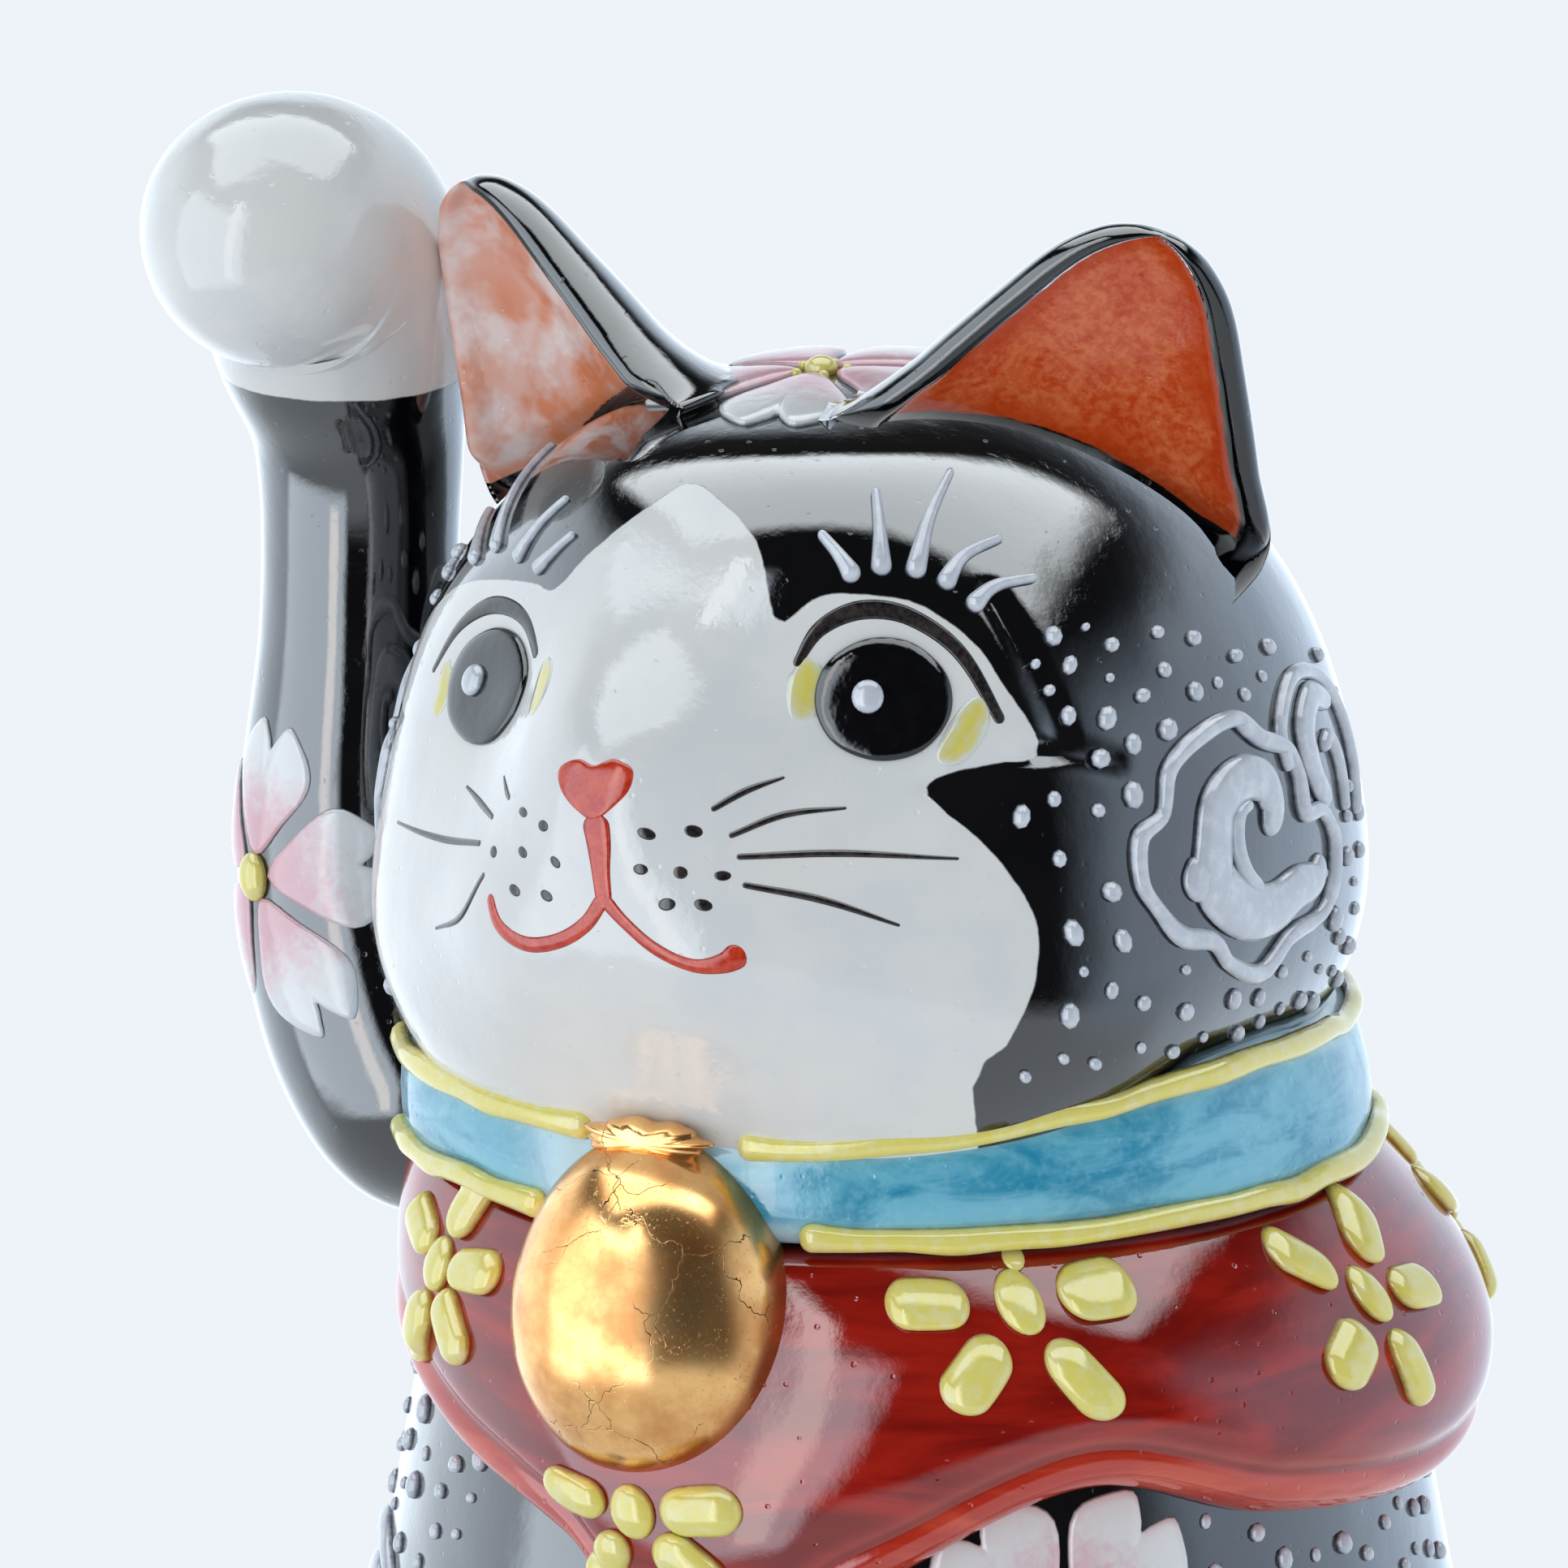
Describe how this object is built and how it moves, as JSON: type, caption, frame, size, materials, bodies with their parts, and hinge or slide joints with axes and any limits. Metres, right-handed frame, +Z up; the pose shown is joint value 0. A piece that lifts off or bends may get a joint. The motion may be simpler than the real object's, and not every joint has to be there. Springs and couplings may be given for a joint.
{
  "type": "beckoning cat figurine",
  "caption": "Seated porcelain beckoning cat with one paw raised, a collar with a bell, a scalloped bib and raised enamel decoration.",
  "frame": {"origin": "centre of the flat base, on the surface the figurine stands on", "axes": "+Z up; the cat faces -Y; +X is the cat's own left, and the raised arm is on -X"},
  "size_m": [0.1096, 0.1032, 0.18],
  "materials": {
    "black_glaze": "deep black high-gloss glaze",
    "face_glaze": "clear gloss over white porcelain, black glaze round it",
    "arm_glaze": "black gloss glaze with a white glazed paw",
    "ear_glaze": "mottled orange-red wash inside a black glazed rim",
    "pupil_enamel": "raised black enamel, high gloss",
    "red_glaze": "deep translucent red enamel, high gloss",
    "turquoise_enamel": "translucent turquoise enamel",
    "yellow_enamel": "raised yellow enamel, glossy",
    "white_enamel": "raised white enamel, glossy",
    "pink_enamel": "thick white enamel shaded pink towards the flower's middle",
    "gold_lustre": "fired gold lustre over glaze, metallic, hair cracks",
    "bisque": "unglazed fired porcelain"
  },
  "bodies": {
    "root": {"base_plate": "bisque", "bell": "gold_lustre", "bell_lug": "gold_lustre", "bib": "red_glaze", "body_casting": "black_glaze", "collar_band": "turquoise_enamel", "collar_piping_lower_left": "yellow_enamel", "collar_piping_lower_right": "yellow_enamel", "collar_piping_upper_left": "yellow_enamel", "collar_piping_upper_right": "yellow_enamel", "crown_petal_1": "pink_enamel", "crown_petal_2": "pink_enamel", "crown_petal_3": "pink_enamel", "crown_petal_4": "pink_enamel", "crown_petal_5": "pink_enamel", "front_blossom_dab_1": "yellow_enamel", "front_blossom_dab_2": "yellow_enamel", "front_blossom_dab_3": "yellow_enamel", "front_blossom_dab_4": "yellow_enamel", "front_blossom_middle": "yellow_enamel", "head_casting": "face_glaze", "large_cheek_scroll": "white_enamel", "left_blossom_dab_1": "yellow_enamel", "left_blossom_dab_2": "yellow_enamel", "left_blossom_dab_3": "yellow_enamel", "left_blossom_dab_4": "yellow_enamel", "left_blossom_dot": "yellow_enamel", "left_blossom_middle": "yellow_enamel", "left_ear": "ear_glaze", "left_eye_highlight": "white_enamel", "left_eyelash_1": "white_enamel", "left_eyelash_2": "white_enamel", "left_eyelash_3": "white_enamel", "left_eyelash_4": "white_enamel", "left_eyelash_5": "white_enamel", "left_foreleg": "black_glaze", "left_hind_foot": "black_glaze", "left_pupil": "pupil_enamel", "raised_arm": "arm_glaze", "right_blossom_dab_1": "yellow_enamel", "right_blossom_dab_2": "yellow_enamel", "right_blossom_dab_3": "yellow_enamel", "right_blossom_dab_4": "yellow_enamel", "right_blossom_dab_5": "yellow_enamel", "right_blossom_middle": "yellow_enamel", "right_ear": "ear_glaze", "right_eye_highlight": "white_enamel", "right_eyelash_1": "white_enamel", "right_eyelash_2": "white_enamel", "right_eyelash_3": "white_enamel", "right_eyelash_4": "white_enamel", "right_eyelash_5": "white_enamel", "right_hind_foot": "black_glaze", "right_pupil": "pupil_enamel", "small_cheek_scroll": "white_enamel", "tail": "black_glaze"}
  },
  "joints": []
}
